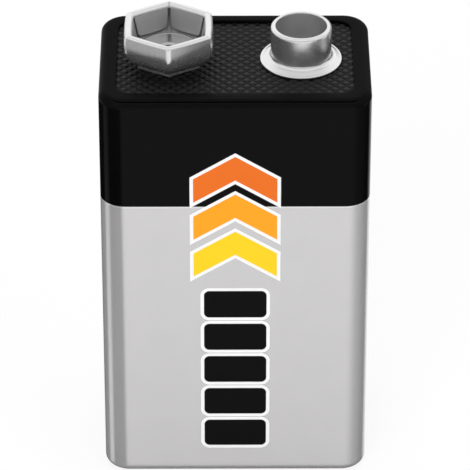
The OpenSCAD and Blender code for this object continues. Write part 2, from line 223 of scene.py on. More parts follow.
# %% Do arithmetic in a node tree
class Sums:
    """Adds Math nodes to the tree that owner is in: sums("ADD", a, b) gives the socket of their sum."""

    def __init__(self, owner):
        self.tree = owner.id_data

    def __call__(self, operation, *values, clamp=False):
        inputs = dict(enumerate(values))
        return add_node(self.tree, "ShaderNodeMath", inputs, operation=operation, use_clamp=clamp)[0]

    def beyond(self, value, half):
        """How far the size of a value goes past half."""
        return self("SUBTRACT", self("ABSOLUTE", value), half)

    def far(self, u, v):
        """Distance of (u, v) from the origin."""
        return self("SQRT", self("ADD", self("MULTIPLY", u, u), self("MULTIPLY", v, v)))

    def inside(self, distance, soft=0.03):
        """1 where a signed distance is below nought, 0 where it is above, over a soft edge."""
        return self("SUBTRACT", 0.5, self("DIVIDE", distance, soft), clamp=True)

    def rounded_box(self, u, v, half_u, half_v, r):
        """Signed distance to a rounded rectangle about the origin."""
        qu = self.beyond(u, half_u - r)
        qv = self.beyond(v, half_v - r)
        out = self.far(self("MAXIMUM", qu, 0.0), self("MAXIMUM", qv, 0.0))
        within = self("MINIMUM", self("MAXIMUM", qu, qv), 0.0)
        return self("SUBTRACT", self("ADD", out, within), r)


# %% Read a place and draw a noise
NOISE_LOW = 0.3
NOISE_HIGH = 0.7


def object_mm(tree):
    """The point's place in millimetres as a vector socket."""
    place = add_node(tree, "ShaderNodeTexCoord", {})["Object"]
    return add_node(tree, "ShaderNodeVectorMath", {0: place, "Scale": 1 / MM}, operation="SCALE")[0]


def split(vector):
    """The x, y and z sockets of a vector."""
    return add_node(vector.id_data, "ShaderNodeSeparateXYZ", {0: vector})


def noise(place, scale, detail=3.0, stretch=(1, 1, 1)):
    """Noise with about `scale` waves in a millimetre, drawn out by `stretch`."""
    tree = place.id_data
    drawn = add_node(tree, "ShaderNodeMapping", {"Vector": place, "Scale": stretch})[0]
    return add_node(tree, "ShaderNodeTexNoise", {"Vector": drawn, "Scale": scale, "Detail": detail})["Fac"]


def spread(value, low, high):
    """Map a noise from its usual reach onto low to high."""
    ends = {"From Min": NOISE_LOW, "From Max": NOISE_HIGH, "To Min": low, "To Max": high}
    return add_node(value.id_data, "ShaderNodeMapRange", {"Value": value, **ends})["Result"]


# %% Blend colours, raise a bump and hand out finishes
def blend_colours(factor, below, above):
    """Colour `below` where the factor is 0 and `above` where it is 1."""
    ends = [(*value, 1) if isinstance(value, tuple) else value for value in (below, above)]
    inputs = {"Factor": factor, 6: ends[0], 7: ends[1]}
    return add_node(factor.id_data, "ShaderNodeMix", inputs, data_type="RGBA")[2]


def bumped(shader, height, depth):
    """Give the shader a bump whose full height is `depth` millimetres."""
    normal = add_node(shader.id_data, "ShaderNodeBump", {"Height": height, "Distance": depth * MM})[0]
    feed(shader, {"Normal": normal})


def new_finish(name):
    """A material with its Principled shader and the place in millimetres."""
    material = bpy.data.materials.new(name)
    material.use_nodes = True
    tree = material.node_tree
    return material, tree.nodes["Principled BSDF"], object_mm(tree)


def dress(piece, material):
    """Make the material the piece's only one."""
    piece.data.materials.clear()
    piece.data.materials.append(material)


def add_finish(piece, material, rule):
    """Give a further finish to the faces where rule(centre in millimetres, normal) holds."""
    piece.data.materials.append(material)
    found = 0
    for face in piece.data.polygons:
        if rule(face.center / MM, face.normal):
            face.material_index = len(piece.data.materials) - 1
            found += 1
    return found


# %% [markdown]
# ## Finish: bright nickel
# The terminals are pressed from steel and plated with nickel, which tumbling leaves bright but not mirror
# smooth. A metal has no diffuse colour of its own, so most of its look is in the roughness. A flat value
# reads as plastic; a broad noise for wear and a fine one for grain break the highlight up as on the real
# plating.

# %% Nickel
tumbled_waves = 0.9
grain_waves = 14.0
grain_share = 0.02
nickel_metallic = 0.91
nickel_bump = 0.0001
worn_share = 0.93


def nickel(name, grey, low, high):
    """Plated metal whose roughness wanders between low and high."""
    material, shader, place = new_finish(name)
    cloud = noise(place, tumbled_waves, 4.0)
    grain = noise(place, grain_waves, 2.0)
    sums = Sums(place)
    rough = sums("ADD", spread(cloud, low, high), spread(grain, -grain_share, grain_share))
    clean, worn = (grey,) * 3, (grey * worn_share,) * 3
    feed(shader, {
        "Base Color": blend_colours(cloud, clean, worn),
        "Metallic": nickel_metallic,
        "Roughness": rough,
        "Specular IOR Level": 0.5,
    })
    bumped(shader, grain, nickel_bump)
    return material


bright_nickel = nickel("terminal_nickel", 0.82, 0.2, 0.27)
satin_nickel = nickel("rivet_nickel", 0.54, 0.18, 0.26)
# A darker, rougher copy of the nickel: its darker colour is painted shade in the stud's bore and on the
# socket's leaves.
recess_nickel_painted_shade = nickel("leaf_nickel_painted_shade", 0.66, 0.36, 0.46)
# A darker, rougher nickel for inside the cup: its darker colour is painted shade behind the leaves.
cup_painted_shade = nickel("cup_nickel_painted_shade", 0.44, 0.42, 0.52)
print("finishes:", bright_nickel.name, satin_nickel.name, recess_nickel_painted_shade.name, cup_painted_shade.name)

# %% [markdown]
# ## Finish: black moulded plastic
# The two plates are moulded from black nylon. It isn't quite black, and the spark-worn mould leaves a fine
# grain on it. Noise drives a shallow bump, the roughness and a little of the colour, so the grain shows
# mostly in highlights.

# %% Black plastic
def moulded_black(name, level, gloss):
    """Black plastic of the given grey level and gloss with a fine mould grain."""
    material, shader, place = new_finish(name)
    grain = noise(place, 9.0, 4.0)
    dark, light = (level * 0.8,) * 3, (level * 1.25,) * 3
    feed(shader, {
        "Base Color": blend_colours(grain, dark, light),
        "Roughness": spread(grain, 0.34, 0.46),
        "Specular IOR Level": gloss,
    })
    bumped(shader, grain, 0.004)
    return material


top_black = moulded_black("top_plastic", 0.004, 0.17)
base_black = moulded_black("base_plastic", 0.014, 0.15)
print("finishes:", top_black.name, base_black.name)

# %% [markdown]
# ## Finish: the printed jacket
# The steel sheet is printed flat, before it is wrapped: gloss black above, a silver-grey lacquer with metal
# flake below, and a simple coloured print on the front. An image would blur at its edges. Shapes worked out
# from the point's place stay crisp at any distance, so each shape is a signed distance, below nought inside
# it.

# %% Values of the print
SILVER = (0.6, 0.59, 0.595)
INK_BLACK = (0.0022, 0.0022, 0.0024)
EDGE_WHITE = (0.86, 0.86, 0.86)
YELLOW = (0.93, 0.62, 0.02)
AMBER = (0.9, 0.36, 0.02)
ORANGE = (0.78, 0.16, 0.02)
outline_w = 0.34
chevron_half_w = 4.1
chevron_pitch = 4.3
chevron_t = 2.7
chevron_slope = 0.62
chevron_low = 25.6
chevron_count = 3
bar_half_w = 3.1
bar_low = 3.0
bar_count = 5
bar_pitch = 3.9
bar_gap = 0.75
bar_corner = 0.55
light_line_drop = 0.08
light_line_half = 0.07
LIGHT_LINE = (0.72, 0.72, 0.72)
silver_metallic = 0.52
plain_rough = 0.02
flake_waves = 26.0
cloud_waves = 0.35
ripple_waves = 1.6
ripple_depth = 0.0015
front_y = -case_d / 2
front_depth = 0.05
print(f"print: {chevron_count} chevrons from z {chevron_low} mm, {bar_count} bars from z {bar_low} mm")


# %% Shapes of the print
def chevron_shapes(sums, x, z):
    """Signed distance to the stack of chevrons, and the number of the chevron from 0 up."""
    slant = sums("SUBTRACT", sums("MULTIPLY_ADD", sums("ABSOLUTE", x), chevron_slope, z), chevron_low)
    number = sums("FLOOR", sums("DIVIDE", slant, chevron_pitch))
    within = sums("SUBTRACT", slant, sums("MULTIPLY", number, chevron_pitch))
    off_band = sums.beyond(sums("SUBTRACT", within, chevron_pitch / 2), chevron_t / 2)
    off_band = sums("MULTIPLY", off_band, 1 / math.hypot(1, chevron_slope))
    off_side = sums.beyond(x, chevron_half_w)
    half_stack = chevron_count * chevron_pitch / 2
    off_stack = sums.beyond(sums("SUBTRACT", slant, half_stack), half_stack)
    return sums("MAXIMUM", sums("MAXIMUM", off_band, off_side), off_stack), number


def bar_shapes(sums, x, z):
    """Signed distance to a ladder of rounded bars."""
    rise = sums("SUBTRACT", z, bar_low)
    number = sums("FLOOR", sums("DIVIDE", rise, bar_pitch))
    number = sums("MINIMUM", sums("MAXIMUM", number, 0.0), float(bar_count - 1))
    middle = sums("MULTIPLY_ADD", number, bar_pitch, bar_pitch / 2)
    off = sums("SUBTRACT", rise, middle)
    return sums.rounded_box(x, off, bar_half_w, (bar_pitch - bar_gap) / 2, bar_corner)


# %% Printed steel
def printed_steel(name):
    """The jacket's coat: two fields, a light line between them and the print on the front."""
    material, shader, place = new_finish(name)
    sums = Sums(place)
    x, y, z = split(place)
    flake = noise(place, flake_waves, 2.0)
    cloud = noise(place, cloud_waves)
    dim = tuple(c * 0.965 for c in SILVER)
    silver = blend_colours(flake, SILVER, dim)
    dark_field = sums.inside(sums("SUBTRACT", z_border, z))
    off_line = sums.beyond(sums("SUBTRACT", z, z_border - light_line_drop), light_line_half)
    colour = blend_colours(sums.inside(off_line), silver, LIGHT_LINE)
    colour = blend_colours(dark_field, colour, INK_BLACK)

    on_front = sums.inside(sums("SUBTRACT", y, front_y + front_depth))
    chevron, number = chevron_shapes(sums, x, z)
    bar = bar_shapes(sums, x, z)
    any_shape = sums("MINIMUM", chevron, bar)
    outline = sums("MULTIPLY", sums.inside(sums("SUBTRACT", any_shape, outline_w)), on_front)
    colour = blend_colours(outline, colour, EDGE_WHITE)
    amber = sums("GREATER_THAN", number, 0.5)
    orange = sums("GREATER_THAN", number, 1.5)
    warm = blend_colours(orange, blend_colours(amber, YELLOW, AMBER), ORANGE)
    in_chevron = sums("MULTIPLY", sums.inside(chevron), on_front)
    in_bar = sums("MULTIPLY", sums.inside(bar), on_front)
    colour = blend_colours(in_chevron, colour, warm)
    colour = blend_colours(in_bar, colour, INK_BLACK)

    plain = sums("SUBTRACT", 1.0, sums("MAXIMUM", dark_field, outline), clamp=True)
    feed(shader, {
        "Base Color": colour,
        "Metallic": sums("MULTIPLY", plain, silver_metallic),
        "Roughness": sums("MULTIPLY_ADD", plain, plain_rough, spread(cloud, 0.15, 0.18)),
        "Specular IOR Level": 0.06,
    })
    bumped(shader, noise(place, ripple_waves, 2.0), ripple_depth)
    return material


jacket_coat = printed_steel("jacket_coat")
print("finish:", jacket_coat.name, "with", len(jacket_coat.node_tree.nodes), "nodes")

# %% Matt ink of the rim, and painted shade at its bend
rim_ink_reach = 0.86
bend_shade_reach = 0.785
side_ink_reach = 0.15
side_way = 0.25
front_way = -0.2


def matt_ink_and_painted_shade(name, level, gloss):
    """The black ink where the sheet is rolled in, which the rollers leave duller; with no gloss and a darker
    level it is painted shade.
    """
    material, shader, place = new_finish(name)
    rub = noise(place, 1.4, 4.0)
    feed(shader, {
        "Base Color": blend_colours(rub, (level,) * 3, (level * 1.8,) * 3),
        "Roughness": spread(rub, 0.26, 0.38),
        "Specular IOR Level": gloss,
    })
    bumped(shader, rub, 0.002)
    return material


rim_ink = matt_ink_and_painted_shade("rim_ink", 0.003, 0.012)
# Painted shade: a darker black with no gloss draws the shadow in the crease where the front of the rim
# bends.
bend_painted_shade = matt_ink_and_painted_shade("bend_painted_shade", 0.0006, 0.0)
print("finishes:", rim_ink.name, bend_painted_shade.name)

# %% [markdown]
# ## The jacket
# One sheet of steel is wrapped round the stack and rolled in over both plates. A cube with a Bevel modifier
# would give the outline, but not the folded rims, their thickness or the joint line. Here a closed section
# runs out over the rim, down the wall and back up the inside, and carries a rounded rectangle.


# %% Outline of the jacket at one height
def rounded_ring(inset, z, r, dip=0.0, shift=0.0):
    """Ring a distance in from the case's faces; dip sinks the joint line, shift moves the ring back."""
    hw = case_w / 2 - inset
    hd = case_d / 2 - inset
    near = 0.25
    half = joint_w / 2
    lip = 0.03
    ring = [(-hw + dip, -half + lip), (-hw, -half), (-hw, -half - lip), (-hw, -hd + r + near)]
    ring += arc(-hw + r, -hd + r, r, 180, 270, 12)
    ring += [(-hw + r + near, -hd), (hw - r - near, -hd)]
    ring += arc(hw - r, -hd + r, r, 270, 360, 12)
    ring += [(hw, -hd + r + near), (hw, hd - r - near)]
    ring += arc(hw - r, hd - r, r, 0, 90, 12)
    ring += [(hw - r - near, hd), (-hw + r + near, hd)]
    ring += arc(-hw + r, hd - r, r, 90, 180, 12)
    ring += [(-hw, hd - r - near), (-hw, half + lip), (-hw, half), (-hw + dip, half - lip)]
    return [(px, py + shift, z) for px, py in ring]


# %% Section of the jacket
def jacket_rings():
    """Rings round the sheet: from the mouth out and down, the mirror image of that, and back up inside."""
    inner_roll = roll_r - sheet_t
    near = 0.3
    outer = [(rim_w, case_h - 2 * mouth_edge_r, mouth_r, 0.0, mouth_shift)]
    mouth = arc(rim_w - mouth_edge_r, case_h - mouth_edge_r, mouth_edge_r, 0, 90, 4)
    outer += [(px, pz, mouth_r, 0.0, mouth_shift) for px, pz in mouth]
    outer.append((roll_r + near, case_h, corner_r - roll_r, 0.0, 0.0))
    roll = arc(roll_r, case_h - roll_r, roll_r, 90, 180, 18)
    outer += [(px, pz, corner_r - px, 0.0, 0.0) for px, pz in roll]
    outer.append((0.0, case_h - roll_r - near, corner_r, joint_depth, 0.0))
    outer.append((0.0, case_h / 2, corner_r, joint_depth, 0.0))
    inner = [(sheet_t, case_h / 2, corner_r - sheet_t, 0.0, 0.0)]
    roll = arc(roll_r, case_h - roll_r, inner_roll, 180, 90, 6)
    inner += [(px, pz, corner_r - px, 0.0, 0.0) for px, pz in roll]
    inner.append((rim_w, z_top, mouth_r, 0.0, mouth_shift))
    mirrored = [(inset, case_h - pz, *rest) for inset, pz, *rest in outer[-2::-1] + inner[:0:-1]]
    return [rounded_ring(*row) for row in outer + mirrored + inner]


jacket = make_piece("rolled_jacket", *loft(jacket_rings()))
dress(jacket, jacket_coat)


def on_rim(at, way):
    """True on the flat of the upper rim, the start of its front roll and all of its other rolls."""
    off_front = abs(way.x) > side_way or way.y > side_way
    return at.z > case_h - roll_r and way.z > (side_ink_reach if off_front else rim_ink_reach)


def on_bend_painted_shade(at, way):
    """True on the narrow band where the front of the rim bends the most, which gets painted shade."""
    on_front = abs(way.x) <= side_way and way.y < front_way
    return at.z > case_h - roll_r and bend_shade_reach < way.z <= rim_ink_reach and on_front


print("faces of the rim with the matt ink:", add_finish(jacket, rim_ink, on_rim))
# The bend gets the painted shade, a darker black with no gloss.
print("faces of the bend with the dull ink:", add_finish(jacket, bend_painted_shade, on_bend_painted_shade))
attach(jacket, "root")
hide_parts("jacket")

# %% [markdown]
# ## Finishes and nodes inside
# The cells, straps, leads and cards are sealed in, over a black base plate. Their CAD solids already have
# the true form, so they stay and only get a finish: drawn steel, welded nickel strip, pressed board, nylon,
# shrunk film and black plastic. A short table pairs the words in a node's name with its finish.


# %% Finishes of the hidden pieces
def grained(name, colour, low, high, metallic, scale, stretch, depth):
    """A plain finish with noise drawn out along one direction, as drawing or pressing leaves it."""
    material, shader, place = new_finish(name)
    grain = noise(place, scale, 3.0, stretch)
    shade = tuple(c * 0.85 for c in colour)
    feed(shader, {
        "Base Color": blend_colours(grain, colour, shade),
        "Metallic": metallic,
        "Roughness": spread(grain, low, high),
    })
    bumped(shader, grain, depth)
    return material


cell_steel = grained("cell_steel", (0.68, 0.68, 0.69), 0.25, 0.4, 1.0, 6.0, (1, 1, 0.05), 0.002)
strap_nickel = grained("strap_nickel", (0.70, 0.69, 0.67), 0.3, 0.45, 1.0, 8.0, (0.1, 1, 1), 0.002)
card_board = grained("card_board", (0.62, 0.50, 0.35), 0.75, 0.9, 0.0, 5.0, (1, 1, 1), 0.02)
seal_nylon = grained("seal_nylon", (0.85, 0.84, 0.78), 0.4, 0.5, 0.0, 5.0, (1, 1, 1), 0.004)
sleeve_film = grained("sleeve_film", (0.32, 0.38, 0.46), 0.2, 0.3, 0.0, 2.0, (1, 1, 0.2), 0.004)
inner_finishes = {
    "_can": cell_steel,
    "_cap": cell_steel,
    "_seal": seal_nylon,
    "_sleeve": sleeve_film,
    "strap": strap_nickel,
    "lead": strap_nickel,
    "card": card_board,
    "base_plate": base_black,
}
dressed = 0
for node_name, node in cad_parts.items():
    for word, material in inner_finishes.items():
        if word in node_name:
            dress(node, material)
            dressed += 1
print("CAD nodes given a finish:", dressed)

# %% [markdown]
# ## The stud
# The male terminal is drawn from a disc of sheet into a tube, folded at the lip and beaded at the foot.
# Cylinders with bevels can't follow the eased slope of the bead, but one section turned about the axis gives
# all of its curves. The section runs once round the metal, and the rivet that holds it is turned the same
# way.

# %% Sizes of the stud
stud_r = flange_r - 1.04
stud_wall = 0.48
stud_floor_t = 0.3
stud_lip_r = 0.36
stud_bore_r = stud_r - stud_wall
flange_t = 0.24
bead_h = 0.22
slope_r = 0.13
slope_in = 0.18
foot_r = 0.4
heel_r = 0.3
bore_top = 0.2
bore_slack = 0.02
print(f"stud: barrel {2 * stud_r:.2f} mm across, bore {2 * stud_bore_r:.2f} mm")


# %% Section of the stud
def stud_section():
    """Closed section: from under the flange out, up and back down the bore."""
    bore_lip_r = stud_wall - stud_lip_r
    edge_r = flange_t / 2
    bead_x = stud_r + foot_r
    bead_z = flange_t + bead_h
    slope_x = flange_r - slope_in
    run, drop = slope_x - bead_x, bead_h - 2 * slope_r
    turn = math.degrees(math.atan2(drop, run) + math.asin(2 * slope_r / math.hypot(run, drop)))
    section = [(rivet_hole_r, 0.0)]
    section += arc(flange_r - edge_r, edge_r, edge_r, -90, 90, 10)
    section += arc(slope_x, flange_t + slope_r, slope_r, 270, 270 - turn, 6)
    section += arc(bead_x, bead_z - slope_r, slope_r, 90 - turn, 90, 6)
    section += arc(bead_x, bead_z + foot_r, foot_r, 270, 180, 14)
    section += arc(stud_r - stud_lip_r, stud_h - stud_lip_r, stud_lip_r, 0, 90, 12)
    section += arc(stud_bore_r + bore_lip_r, stud_h - bore_lip_r, bore_lip_r, 90, 180, 6)
    section += arc(stud_bore_r - heel_r, stud_floor_t + heel_r, heel_r, 0, -90, 8)
    section.append((rivet_hole_r, stud_floor_t))
    return section


def in_bore_painted_shade(at, way):
    """True on the faces of the bore, which get a darker nickel as painted shade."""
    in_bore = math.hypot(at.x - stud_x, at.y) < stud_bore_r + bore_slack
    return in_bore and at.z < z_top + stud_h - bore_top


stud = make_piece("drawn_stud", *spun(stud_section(), stud_x))
dress(stud, bright_nickel)
# The bore gets the darker nickel: painted shade inside the stud.
print("faces of the bore:", add_finish(stud, recess_nickel_painted_shade, in_bore_painted_shade))
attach(stud, "root")
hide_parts("stud_terminal")


# %% Sizes of the rivets
rivet_wall = 0.35
rivet_end = 0.5
rivet_head_t = 0.25
rivet_tail = 0.15
bead_in = 0.22
bead_w = 0.16
bead_rise = 0.05
head_lift = 0.38
stud_head_r = stud_rivet_high.x - stud_x
socket_head_r = socket_rivet_high.x - socket_x
hub_h = socket_rivet_high.z - z_top - socket_t - rivet_head_t + head_lift
print(f"rivet heads: {2 * stud_head_r:.2f} and {2 * socket_head_r:.2f} mm across")


# %% Section of a rivet
def rivet_section(head_r, floor_t, hub):
    """Closed section: rolled end below, shank, wide head on a hub, throat and bore."""
    shank_r = rivet_d / 2
    bore_r = shank_r - rivet_wall
    end_r = shank_r + rivet_end
    tail_z = -plate_t - rivet_tail
    low_z = tail_z - rivet_head_t
    head_z = floor_t + hub + rivet_head_t
    edge_r = rivet_head_t / 2
    throat_r = (rivet_head_t + floor_t) / 2
    section = [(bore_r, low_z), (end_r, low_z), (end_r, tail_z), (shank_r, tail_z), (shank_r, floor_t)]
    if hub > 0:
        section += [(end_r, floor_t), (end_r, floor_t + hub)]
    section += arc(head_r - edge_r, head_z - edge_r, edge_r, -90, 90, 10)
    if hub > 0:
        section += oval(head_r - bead_in, head_z, bead_w / 2, bead_rise, 0, 180, 8)
    section += arc(bore_r + throat_r, head_z - throat_r, throat_r, 90, 180, 10)
    return section


for piece_name, node_name, head_r, floor_t, hub, x in (
    ("stud_eyelet", "stud_rivet", stud_head_r, stud_floor_t, 0.0, stud_x),
    ("socket_eyelet", "socket_rivet", socket_head_r, socket_t, hub_h, socket_x),
):
    eyelet = make_piece(piece_name, *spun(rivet_section(head_r, floor_t, hub), x))
    dress(eyelet, satin_nickel)
    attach(eyelet, "root")
    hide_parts(node_name)

# %% [markdown]
# ## The socket's cup
# The female terminal is a pressed hexagonal cup. Its wall swells out of the foot, leans in towards the top
# and is folded over at the lip. Six bevelled planes would meet in hard edges; here each ring is a hexagon
# with rounded corners, and a ring whose corner radius equals its size is a circle, so the floor closes round
# the rivet's hole with no seam. At the back corner a small notch relieves the fold.

# %% Sizes of the cup
foot_in = 1.35
foot_edge = 0.04
bowl_foot = flank - foot_in
bowl_h = 2.5
bowl_turn = 45
wall_turn = 11
flat_swell = 0.07
bowl_rx = (flank - bowl_foot) / (1 - math.cos(math.radians(bowl_turn)))
bowl_ry = (bowl_h - socket_t) / math.sin(math.radians(bowl_turn))
lip_out_r = 0.36
lip_in_r = 0.42
lip_in = 3.475
cup_corner_r = 0.7
foot_corner_share = 0.3
mouth_corner_r = 0.3
inside_corner_r = 0.45
notch_depth = 0.3
mouth_back = (0.25, 0.4)
wall_back = (0.14, 0.45)
inside_top = 0.38
inward_most = 0.2
upward_least = -0.5
corner_steps = 10
flat_steps = (0.04, 0.2, 0.35, 0.5, 0.65, 0.8, 0.96)
print(f"cup: {2 * flank:.2f} mm across its flats, {2 * bowl_foot:.2f} mm at its foot")


# %% Ring of the cup
def hex_ring(apothem, r, h, swell=0.0, notch=0.0):
    """Hexagon with rounded corners, swollen flats and, at its back corner, a notch."""
    corner = (apothem - swell - r) / math.cos(math.radians(30))
    arcs = []
    for k in range(6):
        a = math.radians(30 + 60 * k)
        arcs.append(arc(corner * math.cos(a), corner * math.sin(a), r, 60 * k, 60 * k + 60, corner_steps))
    ring = []
    for k in range(6):
        heights = [h] * (corner_steps + 1)
        heights[corner_steps // 2] -= notch if k == 1 else 0.0
        ring += [(px, py, up) for (px, py), up in zip(arcs[k], heights)]
        start, stop = Vector(arcs[k][-1]), Vector(arcs[(k + 1) % 6][0])
        out = math.radians(60 * k + 60)
        for step in flat_steps:
            bulge = swell * 4 * step * (1 - step)
            spot = start.lerp(stop, step) + Vector((math.cos(out), math.sin(out))) * bulge
            ring.append((spot.x, spot.y, h))
    return [(socket_x + px, py, z_top + up) for px, py, up in ring]


def cup_rings():
    """Rings round the sheet: out underneath, up the outside, over the lip and back down the inside."""
    wall_r = (socket_h - lip_out_r - bowl_h) / math.sin(math.radians(wall_turn))
    outside = [(bowl_foot - foot_edge, 0.0), (bowl_foot, foot_edge)]
    outside += oval(flank - bowl_rx, bowl_h, bowl_rx, bowl_ry, -bowl_turn, 0, 16)
    outside += arc(flank - wall_r, bowl_h, wall_r, 1, wall_turn, 8)
    middle = outside[-1][0] - lip_out_r * math.cos(math.radians(wall_turn))
    outside += arc(middle, socket_h - lip_out_r, lip_out_r, wall_turn + 6, 90, 10)
    mouth = arc(lip_in + lip_in_r, socket_h - lip_in_r, lip_in_r, 90, 180, 8)
    inside = [(lip_in + mouth_back[0], socket_h - mouth_back[1])]
    inside.append((flank - socket_t - wall_back[0], socket_h - wall_back[1]))
    inside += oval(flank - bowl_rx, bowl_h, bowl_rx - socket_t, bowl_ry - socket_t, 0, -bowl_turn, 12)
    rings = [hex_ring(rivet_hole_r, rivet_hole_r, 0.0)]
    for px, h in outside:
        share = min(1.0, h / bowl_h)
        corner = cup_corner_r * (foot_corner_share + (1 - foot_corner_share) * share)
        rings.append(hex_ring(px, corner, h, flat_swell * share))
    rings += [hex_ring(px, mouth_corner_r, h, flat_swell / 2, notch_depth) for px, h in mouth]
    rings += [hex_ring(px, inside_corner_r, h, flat_swell * min(1.0, h / bowl_h)) for px, h in inside]
    rings.append(hex_ring(rivet_hole_r, rivet_hole_r, socket_t))
    return rings


def in_cup_painted_shade(at, way):
    """True on the faces inside the cup, below its lip, which get painted shade."""
    inward = way.x * (at.x - socket_x) + way.y * at.y < inward_most
    return at.z < z_top + socket_h - inside_top and inward and way.z > upward_least


cup = make_piece("pressed_cup", *loft(cup_rings()))
dress(cup, bright_nickel)
# Inside the cup the darker nickel is painted shade.
print("faces inside the cup:", add_finish(cup, cup_painted_shade, in_cup_painted_shade))
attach(cup, "root")
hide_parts("socket_terminal")

# %% [markdown]
# ## The socket's leaves
# Below the lip the sheet is cut into six spring leaves that lean in and grip a stud. They are alike, so one
# leaf is written in code and Geometry Nodes set six of them round the axis, with the count as an input.
# Copies made by hand would have to be turned by hand again whenever the leaf changes.

# %% One leaf
leaf_t = 0.25
leaf_foot = 1.38
leaf_lean = 0.4
leaf_drop = 0.34
grip_r = lip_in - leaf_lean
leaf_top = socket_h - leaf_drop
slit_w = 0.14
leaf_gap_w = 0.22
leaf_corner_r = 0.45


def leaf_rings():
    """Rings up one leaf that faces +X: a rounded blade that leans in and narrows to its free end."""
    rings = []
    edge = leaf_t / 2
    rows = [(0.0, 0.0), (0.2, 0.35), (0.6, 0.75), (1.2, 1.0), (1.8, 1.0), (2.5, 1.0)]
    steps = 8
    rows += [(2.5 + ((leaf_top - leaf_foot) / edge - 2.5) * i / steps, 1.0) for i in range(1, steps + 1)]
    for up, full in rows:
        h = leaf_foot + up * edge
        share = (h - leaf_foot) / (leaf_top - leaf_foot)
        apothem = grip_r + (lip_in - grip_r) * share
        gap = leaf_gap_w + (slit_w - leaf_gap_w) * share
        half_w = apothem * math.tan(math.radians(30)) - gap / 2 / math.cos(math.radians(30))
        near = max(0.0, leaf_corner_r - up * edge)
        half_w -= leaf_corner_r - math.sqrt(leaf_corner_r**2 - near**2)
        half_t = edge * (0.35 + 0.65 * full)
        ring = rounded_box(apothem + edge, half_t, half_w, half_t * 0.95, 4)
        rings.append([(px, py, z_top + h) for px, py in ring])
    return rings


def capped(rings):
    """Open loft whose two ends are closed by a face each."""
    points, faces = loft(rings, closed=False)
    count = len(rings[0])
    faces.append(tuple(reversed(range(count))))
    faces.append(tuple(range(len(points) - count, len(points))))
    return points, faces


one_leaf = make_piece("one_leaf", *capped(leaf_rings()))


# %% Geometry Nodes: run a tree once
def bake_tree(source, build, values, name):
    """Run a tree on the source through a modifier with these values, and keep the result as a piece."""
    tree = bpy.data.node_groups.new(name, "GeometryNodeTree")
    for way in ("INPUT", "OUTPUT"):
        tree.interface.new_socket("Geometry", in_out=way, socket_type="NodeSocketGeometry")
    ids = {}
    for label, value in values.items():
        kind = "NodeSocketInt" if isinstance(value, int) else "NodeSocketFloat"
        ids[label] = tree.interface.new_socket(label, in_out="INPUT", socket_type=kind).identifier
    build(tree)
    modifier = source.modifiers.new(name, "NODES")
    modifier.node_group = tree
    for label, value in values.items():
        modifier[ids[label]] = value
    bpy.context.view_layer.update()
    shown = source.evaluated_get(bpy.context.evaluated_depsgraph_get())
    mesh = bpy.data.meshes.new_from_object(shown)
    mesh.name = name
    source.modifiers.remove(modifier)
    bpy.data.objects.remove(source)
    return add_piece(name, mesh)


def hand_out(instances, material):
    """Make the instances real, give them the material and end their tree with them."""
    tree = instances.id_data
    real = add_node(tree, "GeometryNodeRealizeInstances", {"Geometry": instances})[0]
    done = add_node(tree, "GeometryNodeSetMaterial", {"Geometry": real, "Material": material})[0]
    add_node(tree, "NodeGroupOutput", {0: done})


# %% Six leaves
def leaf_tree(tree):
    """Set the leaf round the axis, then move the ring of leaves to the socket."""
    sums = Sums(tree)
    given = add_node(tree, "NodeGroupInput", {})
    spots = add_node(tree, "GeometryNodePoints", {"Count": given["Count"]})[0]
    number = add_node(tree, "GeometryNodeInputIndex", {})[0]
    angle = sums("MULTIPLY", number, sums("DIVIDE", 2 * math.pi, given["Count"]))
    turn = add_node(tree, "ShaderNodeCombineXYZ", {"Z": angle})[0]
    ring = {"Points": spots, "Instance": given["Geometry"], "Rotation": turn}
    leaves = add_node(tree, "GeometryNodeInstanceOnPoints", ring)[0]
    shift = add_node(tree, "ShaderNodeCombineXYZ", {"X": given["Axis"]})[0]
    moved = add_node(tree, "GeometryNodeTransform", {"Geometry": leaves, "Translation": shift})[0]
    # The leaves get the darker nickel: painted shade inside the socket.
    hand_out(moved, recess_nickel_painted_shade)


leaf_count = 6
leaves = bake_tree(one_leaf, leaf_tree, {"Count": leaf_count, "Axis": socket_x * MM}, "spring_leaves")
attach(leaves, "root")
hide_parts("socket_terminal")

# %% [markdown]
# ## The terminal plate
# The black plate has a fine diamond knurl and a smooth round seat under each terminal. The diamonds follow a
# rule: a grid at 45 degrees, none where a seat is. One soft-edged diamond is written in code, and Geometry
# Nodes repeat it over the grid. A bump map would look flat at the rim, where the real edges show.

# %% One diamond
knurl_sink = 0.005
groove_z = z_top - knurl_depth
top_z = z_top - knurl_sink


def diamond():
    """A pyramid with a soft flat top over one square of the grid, turned by 45 degrees."""
    rises = {0.0: 1.0, 0.42: 0.94, 0.58: 0.8, 1.0: 0.0}
    marks = sorted({side * mark for mark in rises for side in (1, -1)})
    half = knurl_pitch / 2
    count = len(marks)
    points = []
    for u in marks:
        for v in marks:
            rise = rises[max(abs(u), abs(v))]
            px = half * (u - v) / math.sqrt(2)
            py = half * (u + v) / math.sqrt(2)
            points.append((px, py, groove_z + (top_z - groove_z) * rise))
    faces = []
    for i in range(count - 1):
        for j in range(count - 1):
            a = i * count + j
            faces.append((a, a + count, a + count + 1, a + 1))
    return points, faces


one_diamond = make_piece("one_diamond", *diamond())


